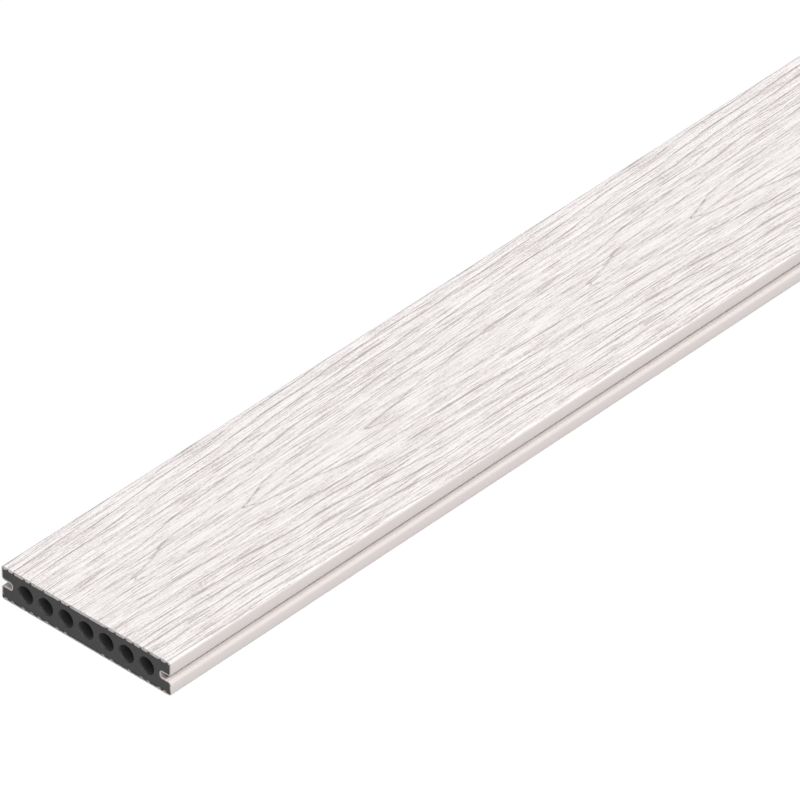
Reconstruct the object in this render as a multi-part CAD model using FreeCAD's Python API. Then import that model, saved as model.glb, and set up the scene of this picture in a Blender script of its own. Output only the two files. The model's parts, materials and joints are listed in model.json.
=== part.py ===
import FreeCAD, Part
import os

# Hollow composite decking board, lying flat on its underside. All sizes are in millimetres.
# The board runs along X, its width is along Y and its thickness along Z.
# The origin is the middle of the underside.
# The section is the same after half a turn about the board's long axis, so either face can be
# laid upwards: the upper lip of one side slot is shaped like the lower lip of the other.

# The board
board_length = 2200.0
board_width = 140.0
board_thickness = 25.0
corner_radius = 1.8

# The slots along both sides, which take hidden clips
slot_height = 4.4
slot_depth = 8.4
slot_floor_radius = 1.5
narrow_lip_radius = 1.8
wide_lip_radius = 2.6

# The outer layer, thick on the two faces and thin on the sides and in the slots
face_layer = 2.0
edge_layer = 1.0

# The round chambers through the core, as many as fit between the two slots
chamber_diameter = 12.6
web_between_chambers = 4.1
least_wall_at_slot = 4.0

near_end = -board_length / 2
mid_height = board_thickness / 2
length_of_board = FreeCAD.Vector(board_length, 0, 0)
shortest_edge = 1e-4


def section_point(across, up):
    """A point at the board's near end, given from the middle of the section."""
    return FreeCAD.Vector(near_end, across, mid_height + up)


def rounded_outline(corners):
    """A closed outline with square corners, each rounded by its own radius where that is not 0."""
    points = [section_point(across, up) for across, up, radius in corners]
    bends = []
    for index, corner in enumerate(points):
        back = points[index - 1] - corner
        ahead = points[(index + 1) % len(points)] - corner
        radius = max(0.0, min(corners[index][2], back.Length / 2, ahead.Length / 2))
        to_start = back.normalize() * radius
        to_end = ahead.normalize() * radius
        to_middle = (to_start + to_end) * (1 - 0.5 ** 0.5)
        bends.append((corner + to_start, corner + to_middle, corner + to_end))
    edges = []
    for index, (start, middle, end) in enumerate(bends):
        next_start = bends[(index + 1) % len(bends)][0]
        if start.distanceToPoint(end) > shortest_edge:
            edges.append(Part.Arc(start, middle, end).toShape())
        if end.distanceToPoint(next_start) > shortest_edge:
            edges.append(Part.LineSegment(end, next_start).toShape())
    return Part.Wire(edges)


def board_outline(face_inset=0.0, edge_inset=0.0):
    """The board's outline, moved inwards from the two faces and from the sides and slots."""
    side = board_width / 2 - edge_inset
    face = board_thickness / 2 - face_inset
    slot_floor = board_width / 2 - slot_depth - edge_inset
    slot_wall = slot_height / 2 + edge_inset
    corner = corner_radius - (face_inset + edge_inset) / 2
    narrow_lip = narrow_lip_radius - edge_inset
    wide_lip = wide_lip_radius - edge_inset
    floor_corner = slot_floor_radius + edge_inset
    right_side = [
        (-side, face, corner),
        (-side, slot_wall, narrow_lip),
        (-slot_floor, slot_wall, floor_corner),
        (-slot_floor, -slot_wall, floor_corner),
        (-side, -slot_wall, wide_lip),
        (-side, -face, corner),
    ]
    left_side = [(-across, -up, radius) for across, up, radius in right_side]
    return rounded_outline(right_side + left_side)


def chamber_outlines():
    """The circles of the chambers, evenly spaced and centred on the board's width."""
    pitch = chamber_diameter + web_between_chambers
    room = board_width - 2 * (slot_depth + edge_layer + least_wall_at_slot)
    count = int((room + web_between_chambers) / pitch)
    circles = []
    for index in range(count):
        centre = section_point((index - (count - 1) / 2) * pitch, 0)
        circle = Part.Circle(centre, length_of_board, chamber_diameter / 2)
        circles.append(Part.Wire([circle.toShape()]))
    return circles


def extruded(outlines):
    """The solid between the first outline and the ones inside it, as long as the board."""
    section = Part.makeFace(outlines, "Part::FaceMakerBullseye")
    return section.extrude(length_of_board)


core_outline = board_outline(face_layer, edge_layer)
core = extruded([core_outline] + chamber_outlines())
cap_layer = extruded([board_outline(), core_outline])

os.makedirs("parts", exist_ok=True)
core.exportStep("parts/core.step")
cap_layer.exportStep("parts/cap_layer.step")
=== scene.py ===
"""A hollow composite decking board with an embossed pale outer layer, in a plain studio."""

import json
import math

import bpy
from bpy.props import FloatProperty, FloatVectorProperty, IntProperty, PointerProperty
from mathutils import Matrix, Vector, noise


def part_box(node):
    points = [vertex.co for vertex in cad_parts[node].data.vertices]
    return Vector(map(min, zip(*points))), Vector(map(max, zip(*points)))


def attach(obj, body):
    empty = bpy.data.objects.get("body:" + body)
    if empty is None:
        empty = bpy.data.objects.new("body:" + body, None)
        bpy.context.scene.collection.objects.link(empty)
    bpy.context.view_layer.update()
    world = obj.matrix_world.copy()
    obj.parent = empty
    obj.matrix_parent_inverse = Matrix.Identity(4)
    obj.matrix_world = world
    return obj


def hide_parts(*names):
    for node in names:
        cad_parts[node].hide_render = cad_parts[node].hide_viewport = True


bl_info = {
    "name": "Decking Board",
    "version": (1, 0, 0),
    "blender": (4, 5, 0),
    "location": "View3D > Sidebar > Decking Board",
    "description": "Builds a capped hollow decking board with embossed wood grain, and its studio",
    "category": "Add Mesh",
}

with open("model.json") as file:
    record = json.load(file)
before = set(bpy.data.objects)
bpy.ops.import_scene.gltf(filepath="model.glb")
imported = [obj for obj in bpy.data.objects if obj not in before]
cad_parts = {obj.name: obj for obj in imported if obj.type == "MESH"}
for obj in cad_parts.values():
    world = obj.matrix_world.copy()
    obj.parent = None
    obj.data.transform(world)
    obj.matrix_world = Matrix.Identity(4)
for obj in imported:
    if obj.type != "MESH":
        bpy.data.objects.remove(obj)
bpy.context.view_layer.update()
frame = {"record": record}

MM = 0.001
ROOT = "root"
OUTER_NODE = "cap_layer"
CORE_NODE = "core"
MOUNTS = {mount["name"]: mount for mount in frame["record"]["mounts"]}
CHAMBERS = sorted(name for name in MOUNTS if MOUNTS[name]["kind"] == "bore")
FIRST_CHAMBER = MOUNTS[CHAMBERS[0]]
LAST_CHAMBER = MOUNTS[CHAMBERS[-1]]

BOARD_LOW, BOARD_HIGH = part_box(OUTER_NODE)
CORE_LOW, CORE_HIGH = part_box(CORE_NODE)
LENGTH = BOARD_HIGH.x - BOARD_LOW.x
WIDTH = BOARD_HIGH.y - BOARD_LOW.y
THICKNESS = BOARD_HIGH.z - BOARD_LOW.z
MIDDLE = (BOARD_HIGH.z + BOARD_LOW.z) / 2

# How finely the meshes are divided: across each face, round a corner, along the board and its ends
UPPER_COLUMNS = 240
LOWER_COLUMNS = 140
BEND_STEPS = 6
STATIONS = 198
END_STATIONS = 8
CHAMBER_SIDES = 96

# The strength of the studio's light from above, from below and from beyond the near end
SKY_ABOVE = 0.50
SKY_BELOW = 0.35
SKY_AHEAD = 0.10

# How strongly the arches' tips crowd together, how far their lines spread along the board there,
# and where the lower face's grain starts
CROWDING = 0.2425
TIP_SPREAD = 3.0
LOWER_FACE_OFFSET = 0.157
GRAIN_GROUPS = {"ShaderNodeTree": "Embossed Grain", "GeometryNodeTree": "Embossed Relief"}
GRAIN_MASKS = ("Groove", "Ring", "Shade", "Stripe", "Fibre", "Hair", "Grit", "Dash", "Face")

# Where the core's keys stand under the upper face, in millimetres from the right side
KEYS = (2.6, 8.0, 17.2, 24.0, 30.2, 36.6, 45.1, 51.9, 83.1, 90.5, 104.7, 115.3, 120.5, 129.5, 134.5)


def size_property(name, default, description):
    """A length that a user may change, in metres."""
    return FloatProperty(
        name=name,
        description=description,
        default=default,
        precision=5,
        min=0.0,
        subtype="DISTANCE",
        unit="LENGTH",
    )


def colour_property(name, default, description):
    """A colour that a user may change."""
    return FloatVectorProperty(
        name=name,
        description=description,
        default=default,
        size=3,
        min=0.0,
        max=1.0,
        subtype="COLOR",
    )


class SectionSizes(bpy.types.PropertyGroup):
    """The board's section, as it leaves the die."""

    face_layer: size_property(
        "Layer on Faces", BOARD_HIGH.z - CORE_HIGH.z, "Outer layer on the two wide faces"
    )
    edge_layer: size_property(
        "Layer on Edges", BOARD_HIGH.y - CORE_HIGH.y, "Outer layer on the sides and in the slots"
    )
    corner_radius: size_property("Corner Radius", 1.8 * MM, "Rounding of the four long edges")
    slot_height: size_property("Slot Height", 4.4 * MM, "Clear height of the clip slots")
    slot_depth: size_property("Slot Depth", 8.4 * MM, "Clear depth of the clip slots")
    slot_floor_radius: size_property("Slot Floor Radius", 1.5 * MM, "Rounding inside the slots")
    narrow_lip_radius: size_property("Narrow Lip Radius", 1.8 * MM, "Rounding of the crisper lip")
    wide_lip_radius: size_property("Wide Lip Radius", 2.6 * MM, "Rounding of the softer lip")
    key_height: size_property("Key Height", 1.4 * MM, "How far the core's keys rise into the layer")
    key_foot: size_property("Key Foot", 0.4 * MM, "How far the core sinks between its keys")
    key_ramp: size_property("Key Ramp", 2.2 * MM, "Length of a key's long slope")
    key_step: size_property("Key Step", 0.4 * MM, "Length of a key's steep side")
    lower_rise: size_property("Lower Rise", 0.05 * MM, "How far the core stands out below")
    border_jag: size_property("Border Jag", 0.25 * MM, "Unevenness of the core's border")
    chamber_radius: size_property(
        "Chamber Radius", FIRST_CHAMBER["dims"]["r_mm"] * MM, "Radius of the round chambers"
    )
    chamber_count: IntProperty(
        name="Chambers", description="How many chambers the core has", default=len(CHAMBERS), min=1
    )


class GrainSizes(bpy.types.PropertyGroup):
    """The wood grain that the embossing roller presses into both faces."""

    repeat: size_property("Repeat", 405.8 * MM, "Length after which the roller's grain repeats")
    rings_per_repeat: IntProperty(
        name="Arches per Repeat", description="Arched growth rings in one repeat", default=3, min=1
    )
    heart_offset: size_property("Heart Offset", 3.0 * MM, "The arches' axis, from the middle")
    first_arch: size_property("First Arch", 45.7 * MM, "First arch's tip, from the near end")
    ring_spacing: size_property("Ring Spacing", 6.0 * MM, "Spacing of the rings beside the heart")
    arch_bluntness: size_property("Arch Bluntness", 36.0 * MM, "Larger makes blunter arches")
    tip_slant: size_property("Tip Slant", 4.0 * MM, "Larger makes the arches' tips more pointed")
    tip_radius: size_property("Tip Radius", 1.0 * MM, "Rounding of the arches' tips")
    groove_depth: size_property("Groove Depth", 0.12 * MM, "Depth of the growth rings")
    stripe_depth: size_property("Stripe Depth", 0.05 * MM, "Depth of the broad stripes")


class CoatColours(bpy.types.PropertyGroup):
    """Colours of the two materials."""

    pale: colour_property("Pale Face", (0.94, 0.903, 0.892), "Embossed faces between the grain")
    grain: colour_property("Grain", (0.50, 0.443, 0.433), "Embossed faces in the depth of the grain")
    edge: colour_property("Smooth Edge", (0.735, 0.675, 0.659), "Outer layer where it is smooth")
    core: colour_property("Core", (0.075, 0.072, 0.073), "Wood-filled core")


class StudioSizes(bpy.types.PropertyGroup):
    """The camera."""

    lens: FloatProperty(
        name="Lens",
        description="Focal length",
        default=479.87,
        min=1.0,
        unit="CAMERA",
    )
    heading: FloatProperty(
        name="Heading",
        description="The camera's bearing, from the board's length",
        default=math.radians(42.814),
        subtype="ANGLE",
    )
    elevation: FloatProperty(
        name="Elevation",
        description="How steeply the camera looks down",
        default=math.radians(36.791),
        subtype="ANGLE",
    )
    distance: size_property("Distance", 6.5433, "From the camera to the point it looks at")
    aim_along: size_property("Aim Along", 0.3070, "The point looked at, from the near end")
    aim_across: size_property("Aim Across", 0.0998, "The point looked at, from the right side")


class Wiring:
    """Adds nodes to one tree and links them."""

    def __init__(self, tree):
        self.tree = tree

    def add(self, kind, inputs=None, **settings):
        """A new node, with its settings and its inputs by name or number."""
        node = self.tree.nodes.new(kind)
        for name, value in settings.items():
            setattr(node, name, value)
        for key, value in (inputs or {}).items():
            self.join(value, node.inputs[key])
        return node

    def join(self, value, socket):
        """Links a socket, or sets a plain value."""
        if isinstance(value, bpy.types.NodeSocket):
            self.tree.links.new(value, socket)
        else:
            socket.default_value = value

    def calc(self, operation, *values):
        """One step of arithmetic."""
        node = self.add("ShaderNodeMath", operation=operation)
        for value, socket in zip(values, node.inputs):
            self.join(value, socket)
        return node.outputs[0]

    def plus(self, *terms):
        """The sum of several terms."""
        result = terms[0]
        for term in terms[1:]:
            result = self.calc("ADD", result, term)
        return result

    def times(self, *factors):
        """The product of several factors."""
        result = factors[0]
        for factor in factors[1:]:
            result = self.calc("MULTIPLY", result, factor)
        return result

    def diagonal(self, first, second):
        """The length of a step with two parts at a right angle."""
        return self.calc("SQRT", self.plus(self.times(first, first), self.times(second, second)))

    def clamp(self, value, low=0.0, high=1.0):
        """A value kept between two limits."""
        return self.calc("MINIMUM", self.calc("MAXIMUM", value, low), high)

    def fade(self, value, full, none):
        """A smooth step: 1 where value is at full, 0 where it is at none."""
        node = self.add(
            "ShaderNodeMapRange",
            {"Value": value, "From Min": none, "From Max": full},
            interpolation_type="SMOOTHSTEP",
        )
        return node.outputs["Result"]

    def noise(self, vector, detail=0.0, roughness=0.5):
        """Noise between about -1 and 1, with one cell to each unit of its vector."""
        node = self.add(
            "ShaderNodeTexNoise",
            {"Vector": vector, "Scale": 1.0, "Detail": detail, "Roughness": roughness},
        )
        return self.calc("MULTIPLY_ADD", node.outputs[0], 2.0, -1.0)

    def vector(self, x, y, z):
        """Three values as one vector."""
        return self.add("ShaderNodeCombineXYZ", {"X": x, "Y": y, "Z": z}).outputs[0]

    def parts(self, vector):
        """A vector's three values."""
        return self.add("ShaderNodeSeparateXYZ", {0: vector}).outputs

    def mix(self, factor, first, second):
        """Two colours mixed by a factor."""
        node = self.add("ShaderNodeMix", {"Factor": factor}, data_type="RGBA")
        self.join(first, node.inputs["A"])
        self.join(second, node.inputs["B"])
        return node.outputs["Result"]


def new_group(name, kind, inputs, outputs):
    """An empty node group with named sockets, and the nodes at its two ends."""
    tree = bpy.data.node_groups.new(name, kind)
    for socket, kind_of_socket in inputs:
        tree.interface.new_socket(name=socket, in_out="INPUT", socket_type=kind_of_socket)
    for socket, kind_of_socket in outputs:
        tree.interface.new_socket(name=socket, in_out="OUTPUT", socket_type=kind_of_socket)
    start = tree.nodes.new("NodeGroupInput")
    end = tree.nodes.new("NodeGroupOutput")
    return tree, start, end


class Roller:
    """Reads noise round the embossing roller, so that the grain comes round again at its repeat."""

    def __init__(self, wire, along, across, repeat):
        radius = repeat / (2 * math.pi)
        angle = wire.times(along, 1 / radius)
        self.wire = wire
        self.across = across
        self.x = wire.times(wire.calc("COSINE", angle), radius)
        self.y = wire.times(wire.calc("SINE", angle), radius)

    def noise(self, cell_along, cell_across, seed, detail=1.0):
        """Noise with cells of that length and width, in millimetres."""
        wire = self.wire
        place = wire.vector(
            wire.times(self.x, 1 / (cell_along * MM)),
            wire.times(self.y, 1 / (cell_along * MM)),
            wire.calc("MULTIPLY_ADD", self.across, 1 / (cell_across * MM), seed),
        )
        return wire.noise(place, detail)


def ring_distance(wire, sizes, along, off_heart, waver):
    """How far the nearest growth ring is, in metres outwards from the heart, and how straight it runs.

    The rings are arches round the heart, and their tips crowd together once in each repeat. The
    second value is 1 where a ring runs along the fibres and 0 at its tip, where its line spreads.
    """
    turn = 2 * math.pi / sizes.repeat
    rings = sizes.rings_per_repeat / sizes.repeat
    past_first = wire.plus(along, -sizes.first_arch)
    bunch_angle = wire.times(past_first, turn)
    from_heart = wire.diagonal(off_heart, sizes.tip_radius)
    beside = wire.plus(from_heart, sizes.tip_slant)
    radius = wire.diagonal(beside, sizes.arch_bluntness)
    tip = math.hypot(sizes.tip_radius + sizes.tip_slant, sizes.arch_bluntness)
    rise = wire.times(wire.plus(radius, -tip), 1 / sizes.ring_spacing)
    bunch = wire.calc("MULTIPLY_ADD", wire.calc("COSINE", bunch_angle), -CROWDING, CROWDING)
    travel = wire.plus(wire.times(past_first, rings), bunch)
    count = wire.plus(rise, waver, wire.times(travel, -1.0))
    from_ring = wire.plus(wire.calc("FRACT", wire.plus(count, 0.5)), -0.5)
    slope_across = wire.calc(
        "DIVIDE",
        wire.times(off_heart, beside),
        wire.times(from_heart, radius, sizes.ring_spacing),
    )
    slope_along = wire.calc("MULTIPLY_ADD", wire.calc("SINE", bunch_angle), CROWDING * turn, rings)
    slope = wire.diagonal(slope_across, wire.times(slope_along, TIP_SPREAD))
    straight = wire.calc("DIVIDE", wire.calc("ABSOLUTE", slope_across), slope)
    return wire.calc("DIVIDE", from_ring, slope), straight


def grain_group(kind):
    """The embossed grain as a node group, the same in a shader and in Geometry Nodes.

    A point goes in, and masks come out: Groove is a growth ring's smooth hollow, Ring its dark
    combed line and Shade the soft tone inside it. Stripe, Fibre, Hair and Grit are ever finer
    tones, Dash is the open pores, and Face is 1 where the roller has touched the layer.
    """
    sizes = bpy.context.scene.deck_grain
    tree, start, end = new_group(
        GRAIN_GROUPS[kind],
        kind,
        [("Point", "NodeSocketVector")],
        [(mask, "NodeSocketFloat") for mask in GRAIN_MASKS],
    )
    wire = Wiring(tree)
    x, y, z = wire.parts(start.outputs["Point"])
    above = wire.plus(z, -MIDDLE)
    upper = wire.calc("GREATER_THAN", above, 0.0)
    side = wire.calc("MULTIPLY_ADD", upper, 2.0, -1.0)
    offset_below = wire.calc("MULTIPLY_ADD", upper, -LOWER_FACE_OFFSET, LOWER_FACE_OFFSET)
    along = wire.plus(x, -BOARD_LOW.x, offset_below)
    across = wire.calc("MULTIPLY_ADD", y, side, -sizes.heart_offset)
    roller = Roller(wire, along, across, sizes.repeat)

    sway = wire.times(roller.noise(85, 34, seed=3.7), 5.0 * MM)
    tremble = wire.times(roller.noise(20, 10, seed=9.1), 0.5 * MM)
    off_heart = wire.plus(across, sway, tremble)
    drift = wire.times(roller.noise(190, 15, seed=4.4), 0.42)
    smooth, straight = ring_distance(wire, sizes, along, off_heart, drift)
    crossing = wire.calc("MULTIPLY_ADD", straight, -0.85, 1.0)
    torn = wire.plus(
        along,
        wire.times(roller.noise(26, 1.0, seed=5.3), 2.5 * MM),
        wire.times(roller.noise(50, 3.4, seed=8.2), crossing, 14 * MM),
    )
    combed, _ = ring_distance(wire, sizes, torn, off_heart, drift)
    inside = wire.times(combed, -1.0)
    weight = wire.calc("MULTIPLY_ADD", roller.noise(110, 12, seed=1.9), 1.0, 0.9)
    line = wire.fade(wire.calc("ABSOLUTE", combed), 0.1 * MM, 0.72 * MM)
    shade = wire.times(wire.fade(inside, 0.0, 3.6 * MM), wire.fade(inside, 0.0, -0.7 * MM))
    from_middle = wire.calc("ABSOLUTE", above)
    ragged = wire.times(roller.noise(6, 1.2, seed=6.6), 0.35 * MM)
    rim = THICKNESS / 2 - 0.35 * MM
    weight = wire.clamp(weight, 0.6, 1.25)
    results = {
        "Groove": wire.times(
            wire.fade(wire.calc("ABSOLUTE", smooth), 0.0, 1.4 * MM), weight, straight, straight
        ),
        "Ring": wire.times(line, weight, wire.calc("MULTIPLY_ADD", straight, -1.1, 2.1)),
        "Shade": wire.times(shade, weight),
        "Stripe": roller.noise(140, 4.2, seed=7.7, detail=2.0),
        "Fibre": roller.noise(70, 0.80, seed=2.3),
        "Hair": roller.noise(25, 0.54, seed=6.1),
        "Grit": roller.noise(2.2, 0.8, seed=0.4),
        "Dash": wire.fade(roller.noise(13, 0.75, seed=4.9), 0.50, 0.22),
        "Face": wire.fade(wire.plus(from_middle, ragged), rim, rim - 0.4 * MM),
    }
    for mask, result in results.items():
        wire.join(result, end.inputs[mask])
    return tree


def section_corners(sizes, inner):
    """The section's square corners and their radii, for the outer surface or the core's."""
    face_inset = sizes.face_layer if inner else 0.0
    edge_inset = sizes.edge_layer if inner else 0.0
    half_width = WIDTH / 2 - edge_inset
    half_height = THICKNESS / 2 - face_inset
    slot_floor = WIDTH / 2 - sizes.slot_depth - edge_inset
    slot_wall = sizes.slot_height / 2 + edge_inset
    corner = max(0.05 * MM, sizes.corner_radius - (face_inset + edge_inset) / 2)
    right = [
        (-half_width, half_height, corner),
        (-half_width, slot_wall, sizes.narrow_lip_radius - edge_inset),
        (-slot_floor, slot_wall, sizes.slot_floor_radius + edge_inset),
        (-slot_floor, -slot_wall, sizes.slot_floor_radius + edge_inset),
        (-half_width, -slot_wall, sizes.wide_lip_radius - edge_inset),
        (-half_width, -half_height, corner),
    ]
    left = [(-across, -up, radius) for across, up, radius in right]
    return right + left


def key_at(across, sizes):
    """How much of a key's height the core has at a place across the board, from 0 to 1.

    A key rises slowly from the left and drops steeply on its right.
    """
    from_right = across + WIDTH / 2
    heights = [0.0]
    for key in KEYS:
        past = from_right - key * MM
        heights.append(1.0 - past / sizes.key_ramp if past > 0 else 1.0 + past / sizes.key_step)
    return max(heights)


def section_outline(inner):
    """Points round the section, as many on the core's outline as on the outer one, and their keys."""
    sizes = bpy.context.scene.deck_section
    corners = section_corners(sizes, inner)
    columns_after = {5: LOWER_COLUMNS, 11: UPPER_COLUMNS}
    outline = []
    for index, (across, up, radius) in enumerate(corners):
        corner = Vector((across, up))
        following = corners[(index + 1) % len(corners)]
        before = (Vector(corners[index - 1][:2]) - corner).normalized()
        after = (Vector(following[:2]) - corner).normalized()
        centre = corner + (before + after) * radius
        for step in range(BEND_STEPS + 1):
            turn = step / BEND_STEPS * math.pi / 2
            outline.append(centre - (after * math.cos(turn) + before * math.sin(turn)) * radius)
        start = corner + after * radius
        finish = Vector(following[:2]) - after * following[2]
        columns = columns_after.get(index, 1)
        outline += [start.lerp(finish, column / columns) for column in range(1, columns)]
    keys = []
    for place in outline:
        on_face = abs(place.y) > CORE_HIGH.z - MIDDLE - 0.01 * MM
        if not on_face:
            keys.append(0.0)
            continue
        side = math.copysign(1.0, place.y)
        key = key_at(side * place.x, sizes)
        keys.append(key)
        if inner:
            jag = noise.noise(Vector((place.x / (1.1 * MM), 0.3, side))) * sizes.border_jag
            rise = key * sizes.key_height - (1.0 - key) * sizes.key_foot
            place.y += side * ((rise if side > 0 else sizes.lower_rise) + jag)
    return outline, keys


def section_object(name, outlines, edges, plane):
    """A helper object with the points of some outlines, each with its key."""
    points = []
    key_values = []
    for outline, keys in outlines:
        points += [plane(place) for place in outline]
        key_values += keys
    mesh = bpy.data.meshes.new(name)
    mesh.from_pydata(points, edges, [])
    attribute = mesh.attributes.new("key", "FLOAT", "POINT")
    attribute.data.foreach_set("value", key_values)
    helper = bpy.data.objects.new(name, mesh)
    bpy.context.scene.collection.objects.link(helper)
    return helper


def run_tree(helper, tree, values, name):
    """Runs a Geometry Nodes tree on a helper, and keeps the result as a plain mesh piece."""
    modifier = helper.modifiers.new(tree.name, "NODES")
    modifier.node_group = tree
    for item in tree.interface.items_tree:
        if item.item_type == "SOCKET" and item.in_out == "INPUT" and item.name in values:
            modifier[item.identifier] = values[item.name]
    helper.update_tag()
    bpy.context.view_layer.update()
    evaluated = helper.evaluated_get(bpy.context.evaluated_depsgraph_get())
    mesh = bpy.data.meshes.new_from_object(evaluated)
    mesh.name = name
    helper.modifiers.clear()
    bpy.data.objects.remove(helper)
    mesh.shade_smooth()
    mesh.set_sharp_from_angle(angle=math.radians(50))
    piece = bpy.data.objects.new(name, mesh)
    bpy.context.scene.collection.objects.link(piece)
    return piece


def station_fields(wire, start, row):
    """Where a station lies along the board, and how far it is from the nearer end.

    The stations crowd towards both ends, where the saw has chipped the layer.
    """
    length = start.outputs["Length"]
    zone = start.outputs["End Zone"]
    zone_steps = start.outputs["End Stations"]
    last = wire.calc("SUBTRACT", start.outputs["Stations"], 1.0)
    steps_in = wire.calc("MINIMUM", row, wire.calc("SUBTRACT", last, row))
    inner_steps = wire.calc("SUBTRACT", last, wire.times(zone_steps, 2.0))
    inner_length = wire.calc("SUBTRACT", length, wire.times(zone, 2.0))
    pace = wire.calc("DIVIDE", inner_length, inner_steps)
    crowded = wire.calc("POWER", wire.calc("DIVIDE", steps_in, zone_steps), 1.7)
    crowded = wire.times(wire.calc("MINIMUM", crowded, 1.0), zone)
    further = wire.calc("MAXIMUM", wire.calc("SUBTRACT", steps_in, zone_steps), 0.0)
    from_end = wire.calc("MULTIPLY_ADD", further, pace, crowded)
    far_half = wire.calc("GREATER_THAN", row, wire.times(last, 0.5))
    inwards = wire.calc("SUBTRACT", wire.times(length, 0.5), from_end)
    sign = wire.calc("MULTIPLY_ADD", far_half, 2.0, -1.0)
    return wire.times(inwards, sign), from_end


def embossed_layer_tree():
    """Geometry Nodes for the outer layer: a closed shell round the section, embossed on its faces.

    A grid is bent into a ring: its columns go round the section, and its rows run along the outer
    surface to the far end and come back along the core.
    """
    tree, start, end = new_group(
        "Embossed Layer",
        "GeometryNodeTree",
        [
            ("Section", "NodeSocketGeometry"),
            ("Section Points", "NodeSocketInt"),
            ("Stations", "NodeSocketInt"),
            ("End Stations", "NodeSocketInt"),
            ("Length", "NodeSocketFloat"),
            ("End Zone", "NodeSocketFloat"),
            ("Groove Depth", "NodeSocketFloat"),
            ("Stripe Depth", "NodeSocketFloat"),
            ("Chip Length", "NodeSocketFloat"),
            ("Chip Depth", "NodeSocketFloat"),
            ("Material", "NodeSocketMaterial"),
        ],
        [("Layer", "NodeSocketGeometry")],
    )
    wire = Wiring(tree)
    section = start.outputs["Section"]
    round_count = start.outputs["Section Points"]
    stations = start.outputs["Stations"]
    rows = wire.plus(stations, 2.0)
    rows_and_seam = wire.plus(rows, 1.0)
    grid = wire.add(
        "GeometryNodeMeshGrid",
        {"Vertices X": wire.plus(round_count, 1.0), "Vertices Y": rows_and_seam},
    )
    index = wire.add("GeometryNodeInputIndex").outputs[0]
    column = wire.calc("FLOOR", wire.calc("DIVIDE", wire.plus(index, 0.5), rows_and_seam))
    row = wire.calc("SUBTRACT", index, wire.times(column, rows_and_seam))
    column = wire.calc("MODULO", column, round_count)
    row = wire.calc("MODULO", row, rows)
    inner = wire.calc("GREATER_THAN", row, wire.plus(stations, -0.5))
    outer = wire.calc("SUBTRACT", 1.0, inner)
    far_inner = wire.calc("LESS_THAN", row, wire.plus(stations, 0.5))
    inner_station = wire.times(far_inner, wire.plus(stations, -1.0), inner)
    station = wire.calc("MULTIPLY_ADD", row, outer, inner_station)
    x, from_end = station_fields(wire, start, station)
    sample_at = wire.calc("MULTIPLY_ADD", inner, round_count, column)
    place = wire.add(
        "GeometryNodeSampleIndex",
        {
            "Geometry": section,
            "Value": wire.add("GeometryNodeInputPosition").outputs[0],
            "Index": sample_at,
        },
        data_type="FLOAT_VECTOR",
    ).outputs[0]
    named_key = wire.add("GeometryNodeInputNamedAttribute", {"Name": "key"}, data_type="FLOAT")
    key = wire.add(
        "GeometryNodeSampleIndex",
        {"Geometry": section, "Value": named_key.outputs["Attribute"], "Index": sample_at},
        data_type="FLOAT",
    ).outputs[0]
    _, y, z = wire.parts(place)
    grain = wire.add("GeometryNodeGroup", node_tree=grain_group("GeometryNodeTree"))
    wire.join(wire.vector(x, y, z), grain.inputs["Point"])
    groove = wire.times(grain.outputs["Groove"], start.outputs["Groove Depth"])
    stripe = wire.times(grain.outputs["Stripe"], start.outputs["Stripe Depth"])
    relief = wire.times(wire.calc("MAXIMUM", wire.plus(groove, stripe), 0.0), grain.outputs["Face"])
    scallop = wire.noise(wire.vector(wire.times(y, 1 / (2.2 * MM)), 0.0, 0.0), 1.0)
    scallop = wire.clamp(wire.calc("MULTIPLY_ADD", scallop, 1.4, 0.15))
    lower = wire.calc("LESS_THAN", z, MIDDLE)
    upper = wire.calc("SUBTRACT", 1.0, lower)
    chip = wire.times(
        wire.plus(wire.times(scallop, lower, 0.12), wire.times(key, upper, 0.2)),
        wire.fade(from_end, 0.0, start.outputs["Chip Length"]),
        start.outputs["Chip Depth"],
        grain.outputs["Face"],
    )
    sink = wire.times(wire.plus(relief, chip), outer)
    side = wire.calc("SIGN", wire.plus(z, -MIDDLE))
    sunk_z = wire.calc("SUBTRACT", z, wire.times(sink, side))
    marked = grid.outputs["Mesh"]
    for name, value in (("seam", inner), ("key", key)):
        marked = wire.add(
            "GeometryNodeStoreNamedAttribute",
            {"Geometry": marked, "Name": name, "Value": value},
            data_type="FLOAT",
            domain="POINT",
        ).outputs[0]
    placed = wire.add(
        "GeometryNodeSetPosition",
        {"Geometry": marked, "Position": wire.vector(x, y, sunk_z)},
    )
    closed = wire.add(
        "GeometryNodeMergeByDistance", {"Geometry": placed.outputs[0], "Distance": 0.001 * MM}
    )
    coated = wire.add(
        "GeometryNodeSetMaterial",
        {"Geometry": closed.outputs[0], "Material": start.outputs["Material"]},
    )
    real = wire.add("GeometryNodeRealizeInstances", {"Geometry": coated.outputs[0]})
    wire.join(real.outputs[0], end.inputs["Layer"])
    return tree


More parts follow.
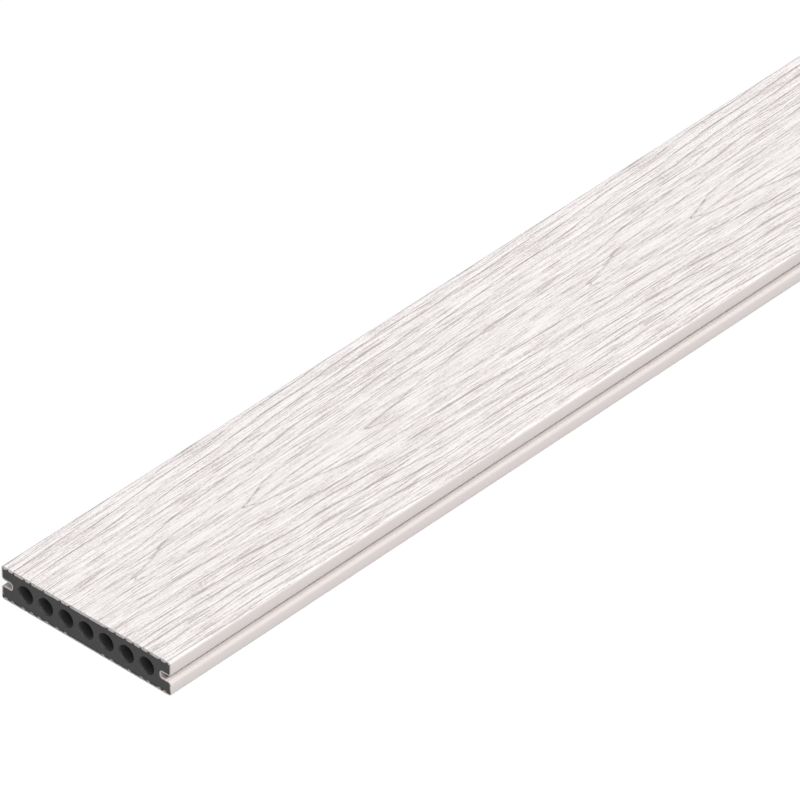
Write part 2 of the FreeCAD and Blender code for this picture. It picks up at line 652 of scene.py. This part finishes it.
def chambered_core_tree():
    """Geometry Nodes for the core: the section filled round a row of chambers, then extruded."""
    tree, start, end = new_group(
        "Chambered Core",
        "GeometryNodeTree",
        [
            ("Section", "NodeSocketGeometry"),
            ("Chambers", "NodeSocketInt"),
            ("Chamber Radius", "NodeSocketFloat"),
            ("First Chamber", "NodeSocketVector"),
            ("Chamber Step", "NodeSocketVector"),
            ("Length", "NodeSocketFloat"),
            ("Material", "NodeSocketMaterial"),
        ],
        [("Core", "NodeSocketGeometry")],
    )
    wire = Wiring(tree)
    outline = wire.add("GeometryNodeMeshToCurve", {"Mesh": start.outputs["Section"]}).outputs[0]
    row = wire.add(
        "GeometryNodeMeshLine",
        {
            "Count": start.outputs["Chambers"],
            "Start Location": start.outputs["First Chamber"],
            "Offset": start.outputs["Chamber Step"],
        },
    )
    circle = wire.add(
        "GeometryNodeCurvePrimitiveCircle",
        {"Resolution": CHAMBER_SIDES, "Radius": start.outputs["Chamber Radius"]},
    )
    chambers = wire.add(
        "GeometryNodeInstanceOnPoints",
        {"Points": row.outputs["Mesh"], "Instance": circle.outputs["Curve"]},
    )
    real_chambers = wire.add("GeometryNodeRealizeInstances", {"Geometry": chambers.outputs[0]})
    lines = wire.add("GeometryNodeJoinGeometry")
    wire.join(outline, lines.inputs[0])
    wire.join(real_chambers.outputs[0], lines.inputs[0])
    near_face = wire.add("GeometryNodeFillCurve", {"Curve": lines.outputs[0]}).outputs[0]
    length = wire.vector(0.0, 0.0, start.outputs["Length"])
    extruded = wire.add(
        "GeometryNodeExtrudeMesh",
        {"Mesh": near_face, "Offset": length, "Individual": False},
    ).outputs["Mesh"]
    turned_face = wire.add("GeometryNodeFlipFaces", {"Mesh": near_face}).outputs[0]
    solid = wire.add("GeometryNodeJoinGeometry")
    wire.join(extruded, solid.inputs[0])
    wire.join(turned_face, solid.inputs[0])
    closed = wire.add(
        "GeometryNodeMergeByDistance", {"Geometry": solid.outputs[0], "Distance": 0.001 * MM}
    )
    across, up, along = wire.parts(wire.add("GeometryNodeInputPosition").outputs[0])
    half_length = wire.times(start.outputs["Length"], 0.5)
    lying = wire.vector(wire.calc("SUBTRACT", along, half_length), across, wire.plus(up, MIDDLE))
    placed = wire.add(
        "GeometryNodeSetPosition", {"Geometry": closed.outputs[0], "Position": lying}
    )
    coated = wire.add(
        "GeometryNodeSetMaterial",
        {"Geometry": placed.outputs[0], "Material": start.outputs["Material"]},
    )
    real = wire.add("GeometryNodeRealizeInstances", {"Geometry": coated.outputs[0]})
    wire.join(real.outputs[0], end.inputs["Core"])
    return tree


def new_material(name):
    """A material with an empty tree, and its output node."""
    material = bpy.data.materials.new(name)
    material.use_nodes = True
    material.node_tree.nodes.clear()
    wire = Wiring(material.node_tree)
    return material, wire, wire.add("ShaderNodeOutputMaterial")


def saw_cut_group():
    """A shader group for the sawn ends: where the cut is, its marks and its mottling.

    Mouth is a narrow band just inside the chambers, where the core paints a shadow ring, and Depth
    grows to 1 further in, where the core's painted light on the walls has faded.
    """
    masks = ("Cut", "Marks", "Mottle", "Mouth", "Depth")
    tree, start, end = new_group(
        "Saw Cut",
        "ShaderNodeTree",
        [("Point", "NodeSocketVector")],
        [(mask, "NodeSocketFloat") for mask in masks],
    )
    wire = Wiring(tree)
    x, y, z = wire.parts(start.outputs["Point"])
    from_end = wire.plus(LENGTH / 2, wire.times(wire.calc("ABSOLUTE", x), -1.0))
    cut = wire.fade(from_end, 0.02 * MM, 0.05 * MM)
    mouth = wire.times(wire.fade(from_end, 0.6 * MM, 0.9 * MM), wire.fade(from_end, 0.2 * MM, 0.1 * MM))
    slanted = wire.calc("MULTIPLY_ADD", z, 0.35, y)
    marks = wire.noise(
        wire.vector(wire.times(slanted, 1 / (0.7 * MM)), wire.times(z, 1 / (9 * MM)), 0.0), 2.0
    )
    fine = wire.add(
        "ShaderNodeVectorMath", {0: start.outputs["Point"], "Scale": 1 / (1.2 * MM)}, operation="SCALE"
    )
    mottle = wire.noise(fine.outputs[0], 3.0)
    depth = wire.fade(from_end, 12 * MM, 0.0)
    for socket, result in zip(end.inputs, (cut, marks, mottle, mouth, depth)):
        wire.join(result, socket)
    return tree


def place_group(wire, name, build):
    """A group node in a material, fed with the place on the object, in metres."""
    tree = bpy.data.node_groups.get(name) or build()
    group = wire.add("ShaderNodeGroup", node_tree=tree)
    wire.join(wire.add("ShaderNodeTexCoord").outputs["Object"], group.inputs["Point"])
    return group.outputs


def painted_slot_shade(wire):
    """How deep a point lies in a slot, from 0 at the lips and the ends to 1 where the slot gets painted
    shade.
    """
    place = wire.add("ShaderNodeTexCoord").outputs["Object"]
    x, across, up = wire.parts(place)
    from_end = wire.plus(LENGTH / 2, wire.times(wire.calc("ABSOLUTE", x), -1.0))
    depth = wire.plus(WIDTH / 2, wire.times(wire.calc("ABSOLUTE", across), -1.0))
    off_middle = wire.calc("ABSOLUTE", wire.plus(up, -MIDDLE))
    near_middle = wire.calc("LESS_THAN", off_middle, 3.0 * MM)
    return wire.times(
        wire.fade(depth, 6.2 * MM, 3.2 * MM), wire.fade(from_end, 4.5 * MM, 1.0 * MM), near_middle
    )


def painted_seam_shadow(wire, cut):
    """The thin painted shadow round the core on the sawn ends, wider below between the keys.

    The layer stores how near each point is to the core, from 0 outside to 1 at the core.
    """
    seam = wire.add("ShaderNodeAttribute", attribute_name="seam").outputs["Fac"]
    key = wire.add("ShaderNodeAttribute", attribute_name="key").outputs["Fac"]
    place = wire.add("ShaderNodeTexCoord").outputs["Object"]
    below = wire.calc("LESS_THAN", wire.parts(place)[2], CORE_LOW.z + 1.0 * MM)
    wide = wire.times(wire.fade(seam, 0.58, 0.46), wire.fade(key, 0.05, 0.30), below)
    thin = wire.fade(seam, 0.97, 0.86)
    return wire.times(wire.calc("MAXIMUM", wide, thin), cut)


def layer_material():
    """The pale outer layer: off-white with grey-pink grain, satin, smooth on the edges."""
    colours = bpy.context.scene.deck_colours
    material, wire, output = new_material("Embossed_Pale_Layer")
    grain = place_group(wire, "Embossed Grain", lambda: grain_group("ShaderNodeTree"))
    saw = place_group(wire, "Saw Cut", saw_cut_group)
    tones = {
        "Ring": 0.55,
        "Shade": 0.12,
        "Stripe": 0.05,
        "Fibre": 0.50,
        "Hair": 1.60,
        "Grit": 0.60,
        "Dash": 0.12,
    }
    depths = {
        "Ring": 0.12,
        "Shade": 0.03,
        "Fibre": 0.06,
        "Hair": 0.05,
        "Grit": 0.03,
        "Dash": 0.05,
    }
    tone = wire.plus(0.185, *[wire.times(grain[mask], share) for mask, share in tones.items()])
    tone = wire.clamp(tone)
    face_colour = wire.mix(tone, (*colours.pale, 1.0), (*colours.grain, 1.0))
    # Painted shade: the smooth edge colour darkened to 0.3 deep inside the slots, near the board's
    # middle plane
    painted_slot_shade_colour = tuple(channel * 0.3 for channel in colours.edge) + (1.0,)
    edge_colour = wire.mix(painted_slot_shade(wire), (*colours.edge, 1.0), painted_slot_shade_colour)
    colour = wire.mix(grain["Face"], edge_colour, face_colour)
    height = wire.parts(wire.add("ShaderNodeTexCoord").outputs["Object"])[2]
    lower_border = wire.calc("LESS_THAN", height, CORE_LOW.z + 1.0 * MM)
    # The sawn strip's tone: mottled at random, and darker along its lower border
    cut_tone = wire.calc("MULTIPLY_ADD", saw["Mottle"], 2.0, 0.15)
    cut_tone = wire.clamp(wire.plus(cut_tone, wire.times(lower_border, 0.4)))
    cut_colour = wire.mix(cut_tone, (*colours.pale, 1.0), (*colours.grain, 1.0))
    colour = wire.mix(saw["Cut"], colour, cut_colour)
    # Painted shadow: near-black along the core's border on the sawn ends
    colour = wire.mix(painted_seam_shadow(wire, saw["Cut"]), colour, (0.006, 0.006, 0.006, 1.0))
    relief = wire.plus(*[wire.times(grain[mask], -depth * MM) for mask, depth in depths.items()])
    relief = wire.times(relief, grain["Face"])
    relief = wire.calc("MULTIPLY_ADD", wire.times(saw["Mottle"], saw["Cut"]), 0.02 * MM, relief)
    bump = wire.add("ShaderNodeBump", {"Height": relief, "Strength": 1.0, "Distance": 1.0})
    roughness = wire.calc("MULTIPLY_ADD", tone, 0.25, 0.50)
    shader = wire.add(
        "ShaderNodeBsdfPrincipled",
        {
            "Base Color": colour,
            "Roughness": roughness,
            "Specular IOR Level": 0.3,
            "Normal": bump.outputs[0],
        },
    )
    wire.join(shader.outputs[0], output.inputs["Surface"])
    return material


def core_material():
    """The dark composite core: matt and mottled where sawn, smoother and with painted light in its
    chambers.
    """
    colours = bpy.context.scene.deck_colours
    material, wire, output = new_material("Dark_Composite_Core")
    saw = place_group(wire, "Saw Cut", saw_cut_group)
    mottle = wire.calc("MULTIPLY_ADD", saw["Mottle"], 0.8, 0.5)
    dark, light, painted_mouth_light, deep, shadow = [
        tuple(channel * share for channel in colours.core) + (1.0,)
        for share in (0.75, 1.25, 2.0, 0.9, 0.5)
    ]
    # Painted light: the chambers' walls twice the core's colour at the ends, darkening to 0.9 of it
    # further in
    inside = wire.mix(saw["Depth"], painted_mouth_light, deep)
    colour = wire.mix(saw["Cut"], inside, wire.mix(mottle, dark, light))
    # Painted shadow: a dark ring just inside the chambers' mouths
    colour = wire.mix(wire.times(saw["Mouth"], 0.8), colour, shadow)
    marks = wire.times(saw["Marks"], saw["Cut"])
    relief = wire.plus(wire.times(saw["Mottle"], 0.02 * MM), wire.times(marks, 0.02 * MM))
    bump = wire.add("ShaderNodeBump", {"Height": relief, "Strength": 1.0, "Distance": 1.0})
    roughness = wire.calc("MULTIPLY_ADD", saw["Cut"], 0.25, 0.55)
    shader = wire.add(
        "ShaderNodeBsdfPrincipled",
        {"Base Color": colour, "Roughness": roughness, "Normal": bump.outputs[0]},
    )
    wire.join(shader.outputs[0], output.inputs["Surface"])
    return material


def finish_piece(piece, node):
    """Gives a finished piece its body, and hides the part of the model that it stands for."""
    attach(piece, ROOT)
    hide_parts(node)


class MESH_OT_deck_outer_layer(bpy.types.Operator):
    """Build the pale outer layer, embossed with wood grain on both faces"""

    bl_idname = "mesh.deck_outer_layer"
    bl_label = "Outer Layer"

    def execute(self, context):
        grain = context.scene.deck_grain
        outlines = [section_outline(inner=False), section_outline(inner=True)]
        helper = section_object(
            "layer_section", outlines, [], lambda place: (0.0, place.x, MIDDLE + place.y)
        )
        piece = run_tree(
            helper,
            embossed_layer_tree(),
            {
                "Section Points": len(outlines[0][0]),
                "Stations": STATIONS,
                "End Stations": END_STATIONS,
                "Length": LENGTH,
                "End Zone": 9 * MM,
                "Groove Depth": grain.groove_depth,
                "Stripe Depth": grain.stripe_depth,
                "Chip Length": 1.6 * MM,
                "Chip Depth": 0.9 * MM,
                "Material": layer_material(),
            },
            "embossed_outer_layer",
        )
        finish_piece(piece, OUTER_NODE)
        return {"FINISHED"}


class MESH_OT_deck_core(bpy.types.Operator):
    """Build the dark core with its row of round chambers"""

    bl_idname = "mesh.deck_core"
    bl_label = "Core"

    def execute(self, context):
        sizes = context.scene.deck_section
        outline = section_outline(inner=True)
        count = len(outline[0])
        edges = [(index, (index + 1) % count) for index in range(count)]
        helper = section_object(
            "core_section", [outline], edges, lambda place: (place.x, place.y, 0.0)
        )
        first = Vector(FIRST_CHAMBER["pos_m"])
        last = Vector(LAST_CHAMBER["pos_m"])
        step = (last - first) / max(1, sizes.chamber_count - 1)
        piece = run_tree(
            helper,
            chambered_core_tree(),
            {
                "Chambers": sizes.chamber_count,
                "Chamber Radius": sizes.chamber_radius,
                "First Chamber": (first.y, first.z - MIDDLE, 0.0),
                "Chamber Step": (step.y, step.z, 0.0),
                "Length": LENGTH,
                "Material": core_material(),
            },
            "chambered_core",
        )
        finish_piece(piece, CORE_NODE)
        return {"FINISHED"}


def floor_material():
    """A white floor that keeps the board's soft shadow, and is clear from below."""
    material, wire, output = new_material("White_Floor")
    paint = wire.add("ShaderNodeBsdfDiffuse", {"Color": (0.12, 0.12, 0.12, 1.0)})
    glow = wire.add("ShaderNodeEmission", {"Color": (0.90, 0.90, 0.90, 1.0)})
    lit = wire.add("ShaderNodeAddShader", {0: paint.outputs[0], 1: glow.outputs[0]})
    clear = wire.add("ShaderNodeBsdfTransparent")
    from_below = wire.add("ShaderNodeNewGeometry").outputs["Backfacing"]
    shader = wire.add("ShaderNodeMixShader", {0: from_below, 1: lit.outputs[0], 2: clear.outputs[0]})
    wire.join(shader.outputs[0], output.inputs["Surface"])
    return material


def studio_world():
    """A world that shows white, and lights the board from above and a little from its near end."""
    world = bpy.data.worlds.new("Studio")
    world.use_nodes = True
    world.node_tree.nodes.clear()
    wire = Wiring(world.node_tree)
    direction = wire.add("ShaderNodeTexCoord").outputs["Generated"]
    along, _, up = wire.parts(direction)
    light = wire.add(
        "ShaderNodeMapRange",
        {"Value": up, "From Min": -0.15, "From Max": 0.15, "To Min": SKY_BELOW, "To Max": SKY_ABOVE},
    ).outputs["Result"]
    light = wire.plus(light, wire.times(wire.calc("MAXIMUM", wire.times(along, -1.0), 0.0), SKY_AHEAD))
    path = wire.add("ShaderNodeLightPath")
    seen = wire.calc(
        "MAXIMUM",
        wire.calc("MAXIMUM", path.outputs["Is Camera Ray"], path.outputs["Is Glossy Ray"]),
        path.outputs["Is Transmission Ray"],
    )
    sky = wire.add("ShaderNodeBackground", {"Strength": light})
    white = wire.add("ShaderNodeBackground", {"Strength": 1.0})
    shader = wire.add("ShaderNodeMixShader", {0: seen, 1: sky.outputs[0], 2: white.outputs[0]})
    output = wire.add("ShaderNodeOutputWorld")
    wire.join(shader.outputs[0], output.inputs["Surface"])
    return world


class SCENE_OT_deck_studio(bpy.types.Operator):
    """Set up the floor, the light and the camera"""

    bl_idname = "scene.deck_studio"
    bl_label = "Studio"

    def execute(self, context):
        studio = context.scene.deck_studio
        half = 60.0
        mesh = bpy.data.meshes.new("floor")
        corners = [(-half, -half, 0.0), (half, -half, 0.0), (half, half, 0.0), (-half, half, 0.0)]
        mesh.from_pydata(corners, [], [(0, 1, 2, 3)])
        mesh.materials.append(floor_material())
        floor = bpy.data.objects.new("floor", mesh)
        floor.visible_diffuse = False
        context.scene.collection.objects.link(floor)

        context.scene.world = studio_world()
        lamp = bpy.data.lights.new("key_light", "SUN")
        lamp.energy = 2.6
        lamp.angle = math.radians(14)
        key_light = bpy.data.objects.new("key_light", lamp)
        towards_lamp = Vector((-0.06, -0.642, 0.765))
        key_light.rotation_euler = towards_lamp.to_track_quat("Z", "Y").to_euler()
        context.scene.collection.objects.link(key_light)

        lens = bpy.data.cameras.new("camera")
        lens.lens = studio.lens
        lens.sensor_width = 36.0
        lens.clip_end = 100.0
        camera = bpy.data.objects.new("camera", lens)
        level = math.cos(studio.elevation)
        back = Vector(
            (
                -level * math.cos(studio.heading),
                -level * math.sin(studio.heading),
                math.sin(studio.elevation),
            )
        )
        aim = Vector((BOARD_LOW.x + studio.aim_along, BOARD_LOW.y + studio.aim_across, BOARD_LOW.z))
        camera.location = aim + back * studio.distance
        camera.rotation_euler = back.to_track_quat("Z", "Y").to_euler()
        context.scene.collection.objects.link(camera)
        context.scene.camera = camera
        context.scene.view_settings.view_transform = "Standard"
        return {"FINISHED"}


class VIEW3D_PT_deck_board(bpy.types.Panel):
    """The board's sizes, colours and steps"""

    bl_label = "Decking Board"
    bl_space_type = "VIEW_3D"
    bl_region_type = "UI"
    bl_category = "Decking Board"

    def draw(self, context):
        layout = self.layout
        for group in (
            context.scene.deck_section,
            context.scene.deck_grain,
            context.scene.deck_colours,
            context.scene.deck_studio,
        ):
            box = layout.box()
            for name in group.__annotations__:
                box.prop(group, name)
        for operator in OPERATORS:
            layout.operator(operator.bl_idname)


PROPERTY_GROUPS = {
    "deck_section": SectionSizes,
    "deck_grain": GrainSizes,
    "deck_colours": CoatColours,
    "deck_studio": StudioSizes,
}
OPERATORS = (MESH_OT_deck_outer_layer, MESH_OT_deck_core, SCENE_OT_deck_studio)


def register():
    for name, group in PROPERTY_GROUPS.items():
        bpy.utils.register_class(group)
        setattr(bpy.types.Scene, name, PointerProperty(type=group))
    for cls in (*OPERATORS, VIEW3D_PT_deck_board):
        bpy.utils.register_class(cls)


def unregister():
    for cls in (VIEW3D_PT_deck_board, *reversed(OPERATORS)):
        bpy.utils.unregister_class(cls)
    for name, group in PROPERTY_GROUPS.items():
        delattr(bpy.types.Scene, name)
        bpy.utils.unregister_class(group)


def main():
    register()
    bpy.ops.mesh.deck_outer_layer()
    bpy.ops.mesh.deck_core()
    bpy.ops.scene.deck_studio()


if __name__ == "__main__":
    main()
